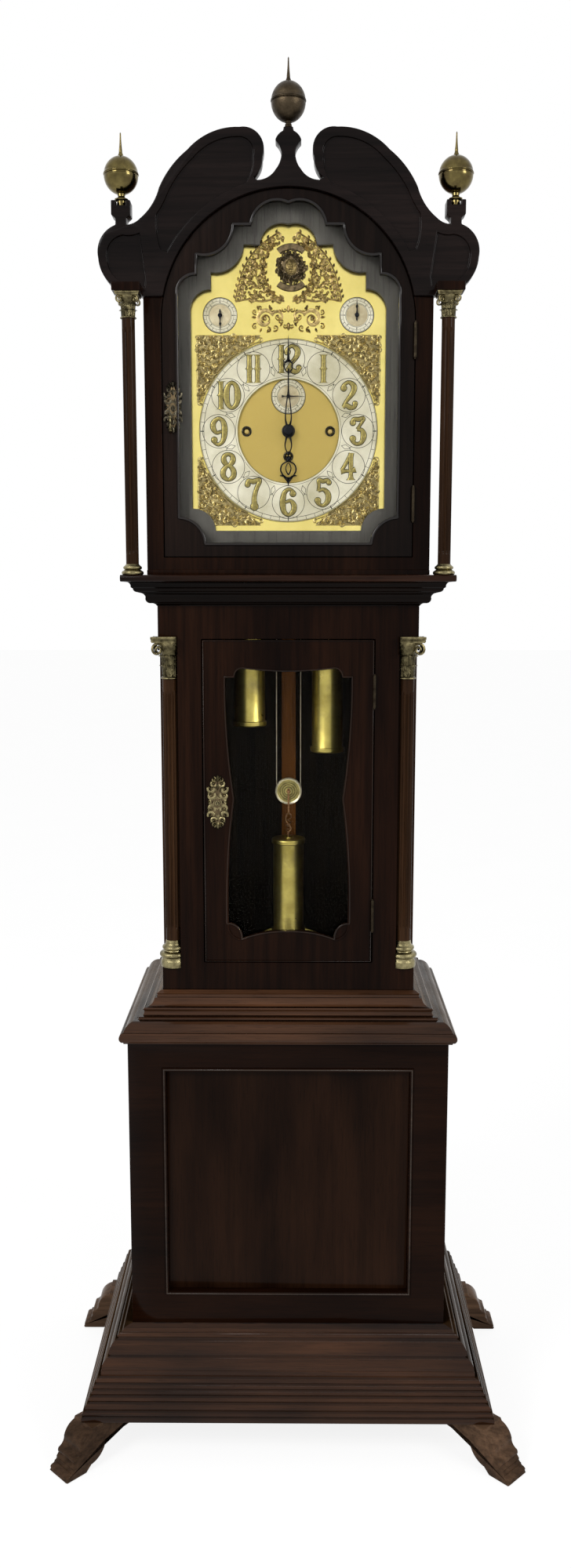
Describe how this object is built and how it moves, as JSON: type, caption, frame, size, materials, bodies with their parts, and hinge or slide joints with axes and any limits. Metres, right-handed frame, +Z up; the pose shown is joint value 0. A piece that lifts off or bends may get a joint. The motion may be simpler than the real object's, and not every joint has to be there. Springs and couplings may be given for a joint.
{
  "type": "longcase clock",
  "caption": "Tall weight-driven longcase clock with arched dial, swan-neck hood on columns, glazed trunk door, stepped plinth and bracket feet.",
  "frame": {"origin": "on the floor, under the middle of the whole clock", "axes": "+X to the viewer's right, -Y to the front (the dial's side), +Z up"},
  "size_m": [0.771, 0.4732, 2.127],
  "materials": {
    "mahogany": "gloss",
    "plain_board": "satin",
    "rod_wood": "satin",
    "polished_brass": "polished",
    "antique_brass": "satin",
    "silvered_brass": "satin",
    "blued_steel": "polished",
    "bright_steel": "polished",
    "bell_metal": "satin",
    "clear_glass": "polished",
    "weight_line": "satin"
  },
  "bodies": {
    "case": {"backboard": "plain_board", "base_carcase": "mahogany", "base_front_frame": "mahogany", "base_panel": "mahogany", "base_top_moulding": "mahogany", "bell_nest": "bell_metal", "bracket_feet": "mahogany", "chapter_rings": "silvered_brass", "dial_mounts": "antique_brass", "dial_plate": "polished_brass", "line_ends": "weight_line", "movement_frame": "polished_brass", "plinth_moulding": "mahogany", "seatboard": "plain_board", "trunk_column_mounts": "antique_brass", "trunk_columns": "mahogany", "trunk_front_frame": "mahogany", "trunk_hinge_pins": "bright_steel", "trunk_sides": "mahogany", "waist_moulding": "mahogany", "weight_line_centre": "weight_line", "weight_line_left": "weight_line", "weight_line_right": "weight_line"},
    "trunk_door": {"trunk_door": "mahogany", "trunk_door_glass": "clear_glass", "trunk_door_lock": "antique_brass", "trunk_door_hinges": "antique_brass"},
    "hood": {"hood_base_frame": "mahogany", "hood_sides": "mahogany", "hood_front_frame": "mahogany", "pediment_board": "mahogany", "hood_roof": "mahogany", "hood_columns": "mahogany", "hood_column_mounts": "antique_brass", "finials": "polished_brass", "dial_mask": "mahogany", "hood_hinge_pins": "bright_steel"},
    "hood_door": {"hood_door": "mahogany", "hood_door_glass": "clear_glass", "hood_door_lock": "antique_brass", "hood_door_hinges": "antique_brass"},
    "hood_door_pull": {"hood_door_pull": "antique_brass"},
    "minute_hand": {"minute_hand": "blued_steel"},
    "hour_hand": {"hour_hand": "blued_steel"},
    "seconds_hand": {"seconds_hand": "blued_steel", "escape_wheel": "polished_brass"},
    "silent_hand": {"silent_hand": "blued_steel"},
    "chime_hand": {"chime_hand": "blued_steel"},
    "pendulum": {"pendulum_rod": "rod_wood", "pendulum_bob": "polished_brass", "pallets": "bright_steel"},
    "weight_left": {"weight_left": "polished_brass"},
    "pulley_left": {"pulley_left": "polished_brass"},
    "barrel_left": {"barrel_left": "polished_brass"},
    "weight_centre": {"weight_centre": "polished_brass"},
    "pulley_centre": {"pulley_centre": "polished_brass"},
    "barrel_centre": {"barrel_centre": "polished_brass"},
    "weight_right": {"weight_right": "polished_brass"},
    "pulley_right": {"pulley_right": "polished_brass"},
    "barrel_right": {"barrel_right": "polished_brass"}
  },
  "joints": [
    {"name": "trunk_door_swing", "type": "hinge", "parent": "case", "child": "trunk_door", "pos_m": [0.13275, -0.06509, 1.042], "axis": [0, 0, 1], "range_deg": [0, 105]},
    {"name": "hood_slide", "type": "slide", "parent": "case", "child": "hood", "axis": [0, -1, 0], "range_m": [0, 0.3]},
    {"name": "hood_door_swing", "type": "hinge", "parent": "hood", "child": "hood_door", "pos_m": [0.18675, -0.07609, 1.62], "axis": [0, 0, 1], "range_deg": [0, 105]},
    {"name": "door_pull_lift", "type": "hinge", "parent": "hood_door", "child": "hood_door_pull", "pos_m": [-0.175, -0.07994, 1.625], "axis": [-1, 0, 0], "range_deg": [0, 80]},
    {"name": "minute_hand_turn", "type": "hinge", "parent": "case", "child": "minute_hand", "pos_m": [0, -0.04194, 1.609], "axis": [0, 1, 0], "continuous": true},
    {"name": "hour_hand_turn", "type": "hinge", "parent": "case", "child": "hour_hand", "pos_m": [0, -0.04194, 1.609], "axis": [0, 1, 0], "continuous": true},
    {"name": "seconds_hand_turn", "type": "hinge", "parent": "case", "child": "seconds_hand", "pos_m": [0, -0.04194, 1.66], "axis": [0, 1, 0], "continuous": true},
    {"name": "silent_hand_turn", "type": "hinge", "parent": "case", "child": "silent_hand", "pos_m": [-0.102, -0.04194, 1.777], "axis": [0, 1, 0], "range_deg": [0, 180]},
    {"name": "chime_hand_turn", "type": "hinge", "parent": "case", "child": "chime_hand", "pos_m": [0.102, -0.04194, 1.777], "axis": [0, 1, 0], "range_deg": [-120, 120]},
    {"name": "pendulum_swing", "type": "hinge", "parent": "case", "child": "pendulum", "pos_m": [0, 0.09206, 1.7], "axis": [0, 1, 0], "range_deg": [-3, 3]},
    {"name": "weight_left_rise", "type": "slide", "parent": "case", "child": "weight_left", "axis": [0, 0, 1], "range_m": [-0.905, 0.045], "deforming": ["weight_line_left"]},
    {"name": "pulley_left_turn", "type": "hinge", "parent": "weight_left", "child": "pulley_left", "pos_m": [-0.063, 0.03006, 1.393], "axis": [0, 1, 0], "range_deg": [-137, 2665]},
    {"name": "barrel_left_turn", "type": "hinge", "parent": "case", "child": "barrel_left", "pos_m": [-0.063, -0.04194, 1.609], "axis": [0, 1, 0], "range_deg": [-274, 5330]},
    {"name": "weight_centre_rise", "type": "slide", "parent": "case", "child": "weight_centre", "axis": [0, 0, 1], "range_m": [-0.56, 0.39], "deforming": ["weight_line_centre"]},
    {"name": "pulley_centre_turn", "type": "hinge", "parent": "weight_centre", "child": "pulley_centre", "pos_m": [0, 0.03006, 1.048], "axis": [0, 1, 0], "range_deg": [-1150, 1651]},
    {"name": "barrel_centre_turn", "type": "hinge", "parent": "case", "child": "barrel_centre", "pos_m": [0, -0.04194, 1.572], "axis": [0, 1, 0], "range_deg": [-2300, 3302]},
    {"name": "weight_right_rise", "type": "slide", "parent": "case", "child": "weight_right", "axis": [0, 0, 1], "range_m": [-0.863, 0.087], "deforming": ["weight_line_right"]},
    {"name": "pulley_right_turn", "type": "hinge", "parent": "weight_right", "child": "pulley_right", "pos_m": [0.063, 0.03006, 1.351], "axis": [0, 1, 0], "range_deg": [-260, 2541]},
    {"name": "barrel_right_turn", "type": "hinge", "parent": "case", "child": "barrel_right", "pos_m": [0.063, -0.04194, 1.609], "axis": [0, 1, 0], "range_deg": [-520, 5082]}
  ],
  "couplings": [
    {"joint": "hour_hand_turn", "follows": "minute_hand_turn", "ratio": 0.083333},
    {"joint": "seconds_hand_turn", "follows": "minute_hand_turn", "ratio": 60},
    {"joint": "pulley_left_turn", "follows": "weight_left_rise", "rad_per_m": -51.282},
    {"joint": "barrel_left_turn", "follows": "weight_left_rise", "rad_per_m": -102.56},
    {"joint": "pulley_centre_turn", "follows": "weight_centre_rise", "rad_per_m": -51.282},
    {"joint": "barrel_centre_turn", "follows": "weight_centre_rise", "rad_per_m": -102.56},
    {"joint": "pulley_right_turn", "follows": "weight_right_rise", "rad_per_m": -51.282},
    {"joint": "barrel_right_turn", "follows": "weight_right_rise", "rad_per_m": -102.56}
  ]
}
